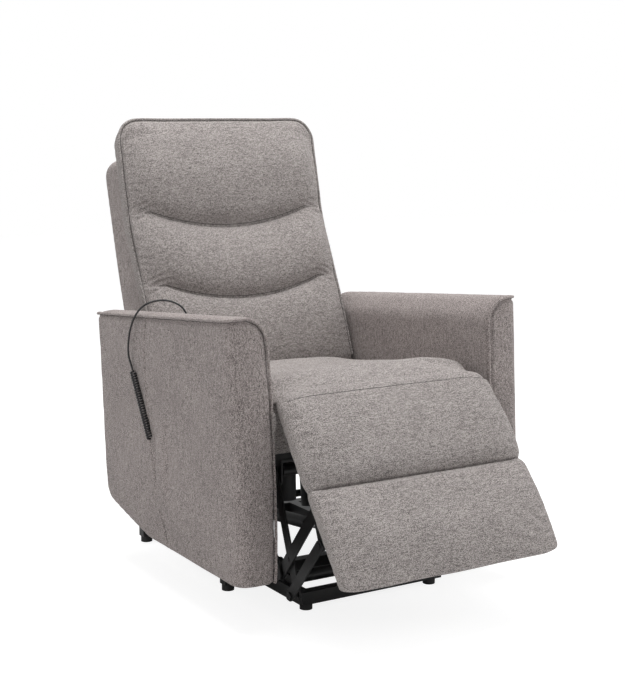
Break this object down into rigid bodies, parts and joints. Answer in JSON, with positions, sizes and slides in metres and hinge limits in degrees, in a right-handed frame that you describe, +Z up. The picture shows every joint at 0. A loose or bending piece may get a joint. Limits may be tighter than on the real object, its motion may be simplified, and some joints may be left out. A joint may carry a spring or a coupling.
{
  "type": "lift recliner chair",
  "caption": "Upholstered recliner that tips forward on a powered lifting base, with a folding footrest, reclining back and corded handset in the arm pocket.",
  "frame": {"origin": "on the floor, under the middle of the seat's width, between the arms", "axes": "+Z up; -Y is the way the sitter faces, towards the footrest; +X is the sitter's left"},
  "size_m": [0.7622, 1.1683, 1.0446],
  "materials": {
    "grey_fabric": "woven melange upholstery fabric, warm mid-grey",
    "grey_piping": "the same woven fabric sewn round a cord",
    "black_steel": "black powder-coated steel",
    "rod_steel": "bright drawn steel",
    "spring_wire": "phosphated spring wire",
    "board_backing": "board faced with black lining cloth",
    "black_plastic": "black moulded plastic, fine grain",
    "feet": "black moulded plastic",
    "buttons": "grey moulded plastic",
    "cord": "black flexible cord jacket"
  },
  "bodies": {
    "base": {"base_frame": "black_steel", "base_feet": "feet"},
    "lift_front": {"lift_arm_front_left": "black_steel", "lift_arm_front_right": "black_steel", "lift_torque_tube": "black_steel"},
    "lift_rear": {"lift_arm_rear_left": "black_steel", "lift_arm_rear_right": "black_steel", "lift_tie_tube": "black_steel"},
    "lift_drive": {"lift_motor": "black_plastic"},
    "lift_drive_rod": {"lift_rod": "rod_steel"},
    "chassis": {"side_plate_left": "black_steel", "side_plate_right": "black_steel", "front_cross_tube": "black_steel", "rear_cross_tube": "black_steel", "lift_hanger_left": "black_steel", "lift_hanger_right": "black_steel", "seat_frame": "black_steel", "seat_springs": "spring_wire", "seat_cushion": "grey_fabric", "seat_side_panel_left": "grey_fabric", "seat_side_panel_right": "grey_fabric", "arm_left": "grey_fabric", "arm_right": "grey_fabric", "arm_welt_left": "grey_piping", "arm_welt_right": "grey_piping", "handset": "black_plastic", "handset_pocket": "grey_fabric", "control_box": "black_plastic", "handset_cord": "cord", "handset_curl": "cord"},
    "footrest_drive_links": {"footrest_drive_link_left": "black_steel", "footrest_drive_link_right": "black_steel", "footrest_torque_tube": "black_steel"},
    "footrest_cross_links": {"footrest_cross_link_left": "black_steel", "footrest_cross_link_right": "black_steel"},
    "footrest_stay_links": {"footrest_stay_link_left": "black_steel", "footrest_stay_link_right": "black_steel"},
    "footrest_outer_links": {"footrest_outer_link_left": "black_steel", "footrest_outer_link_right": "black_steel"},
    "footrest": {"footrest_pad": "grey_fabric", "footrest_board": "board_backing", "footrest_bracket_left": "black_steel", "footrest_bracket_right": "black_steel"},
    "footrest_drive": {"footrest_motor": "black_plastic"},
    "footrest_drive_rod": {"footrest_rod": "rod_steel"},
    "back": {"back_cushion": "grey_fabric", "back_board": "board_backing", "back_bracket_left": "black_steel", "back_bracket_right": "black_steel", "back_torque_tube": "black_steel", "back_shell": "grey_fabric", "back_welt": "grey_piping"},
    "back_drive": {"back_motor": "black_plastic"},
    "back_drive_rod": {"back_rod": "rod_steel"},
    "button_back_up": {"button_back_up": "buttons"},
    "button_back_down": {"button_back_down": "buttons"},
    "button_footrest_up": {"button_footrest_up": "buttons"},
    "button_footrest_down": {"button_footrest_down": "buttons"},
    "button_lift_up": {"button_lift_up": "buttons"},
    "button_lift_down": {"button_lift_down": "buttons"}
  },
  "joints": [
    {"name": "lift", "type": "hinge", "parent": "base", "child": "lift_front", "pos_m": [0, -0.2049, 0.0604], "axis": [1, 0, 0], "range_deg": [0, 50]},
    {"name": "chassis_tilt", "type": "hinge", "parent": "lift_front", "child": "chassis", "pos_m": [0, 0.0672, 0.0969], "axis": [1, 0, 0], "range_deg": [-24.05, 0]},
    {"name": "lift_rear_turn", "type": "hinge", "parent": "base", "child": "lift_rear", "pos_m": [0, -0.1451, 0.0752], "axis": [1, 0, 0], "range_deg": [0, 43.88]},
    {"name": "lift_drive_turn", "type": "hinge", "parent": "base", "child": "lift_drive", "pos_m": [0, 0.35, 0.064], "axis": [1, 0, 0], "range_deg": [0, 0.68]},
    {"name": "lift_drive_slide", "type": "slide", "parent": "lift_drive", "child": "lift_drive_rod", "axis": [0, -0.9942, 0.1073], "range_m": [0, 0.05497]},
    {"name": "footrest_open", "type": "hinge", "parent": "chassis", "child": "footrest_drive_links", "pos_m": [0, -0.1679, 0.2934], "axis": [-1, 0, 0], "range_deg": [-38.7, 50.9]},
    {"name": "footrest_cross_turn", "type": "hinge", "parent": "footrest_drive_links", "child": "footrest_cross_links", "pos_m": [0, -0.2361, 0.1154], "axis": [-1, 0, 0], "range_deg": [-61.54, 46.8]},
    {"name": "footrest_board_turn", "type": "hinge", "parent": "footrest_cross_links", "child": "footrest", "pos_m": [0, -0.3527, 0.2559], "axis": [-1, 0, 0], "range_deg": [-46.14, 60.67]},
    {"name": "footrest_outer_turn", "type": "hinge", "parent": "footrest_drive_links", "child": "footrest_outer_links", "pos_m": [0, -0.2633, 0.0444], "axis": [-1, 0, 0], "range_deg": [-61.33, 46.64]},
    {"name": "footrest_stay_turn", "type": "hinge", "parent": "chassis", "child": "footrest_stay_links", "pos_m": [0, -0.1298, 0.241], "axis": [-1, 0, 0], "range_deg": [-39.56, 52.02]},
    {"name": "footrest_drive_turn", "type": "hinge", "parent": "chassis", "child": "footrest_drive", "pos_m": [0.062, 0.16, 0.2], "axis": [1, 0, 0], "range_deg": [-1.32, 1.72]},
    {"name": "footrest_drive_slide", "type": "slide", "parent": "footrest_drive", "child": "footrest_drive_rod", "axis": [0, -0.9906, 0.1368], "range_m": [-0.02979, 0.03911]},
    {"name": "back_recline", "type": "hinge", "parent": "chassis", "child": "back", "pos_m": [0, 0.3, 0.33], "axis": [-1, 0, 0], "range_deg": [0, 38]},
    {"name": "back_drive_turn", "type": "hinge", "parent": "chassis", "child": "back_drive", "pos_m": [-0.062, -0.022, 0.262], "axis": [1, 0, 0], "range_deg": [-0.78, 0]},
    {"name": "back_drive_slide", "type": "slide", "parent": "back_drive", "child": "back_drive_rod", "axis": [0, 0.9998, -0.0218], "range_m": [-0.05211, 0]},
    {"name": "press_back_up", "type": "slide", "parent": "chassis", "child": "button_back_up", "axis": [1, 0, 0], "range_m": [0, 0.001], "stiffness_N_per_m": 400, "springref_m": -0.0005},
    {"name": "press_back_down", "type": "slide", "parent": "chassis", "child": "button_back_down", "axis": [1, 0, 0], "range_m": [0, 0.001], "stiffness_N_per_m": 400, "springref_m": -0.0005},
    {"name": "press_footrest_up", "type": "slide", "parent": "chassis", "child": "button_footrest_up", "axis": [1, 0, 0], "range_m": [0, 0.001], "stiffness_N_per_m": 400, "springref_m": -0.0005},
    {"name": "press_footrest_down", "type": "slide", "parent": "chassis", "child": "button_footrest_down", "axis": [1, 0, 0], "range_m": [0, 0.001], "stiffness_N_per_m": 400, "springref_m": -0.0005},
    {"name": "press_lift_up", "type": "slide", "parent": "chassis", "child": "button_lift_up", "axis": [1, 0, 0], "range_m": [0, 0.001], "stiffness_N_per_m": 400, "springref_m": -0.0005},
    {"name": "press_lift_down", "type": "slide", "parent": "chassis", "child": "button_lift_down", "axis": [1, 0, 0], "range_m": [0, 0.001], "stiffness_N_per_m": 400, "springref_m": -0.0005}
  ],
  "couplings": [
    {"joint": "chassis_tilt", "follows": "lift", "ratio": -0.48},
    {"joint": "lift_rear_turn", "follows": "lift", "ratio": 0.8766},
    {"joint": "lift_drive_turn", "follows": "lift", "ratio": 0.012609},
    {"joint": "lift_drive_slide", "follows": "lift", "m_per_rad": 0.062759},
    {"joint": "footrest_cross_turn", "follows": "footrest_open", "ratio": -1.208},
    {"joint": "footrest_board_turn", "follows": "footrest_open", "ratio": 1.191},
    {"joint": "footrest_outer_turn", "follows": "footrest_open", "ratio": -1.204},
    {"joint": "footrest_stay_turn", "follows": "footrest_open", "ratio": 1.021},
    {"joint": "footrest_drive_turn", "follows": "footrest_open", "ratio": 0.032811},
    {"joint": "footrest_drive_slide", "follows": "footrest_open", "m_per_rad": 0.043801},
    {"joint": "back_drive_turn", "follows": "back_recline", "ratio": -0.019332},
    {"joint": "back_drive_slide", "follows": "back_recline", "m_per_rad": -0.078267}
  ]
}
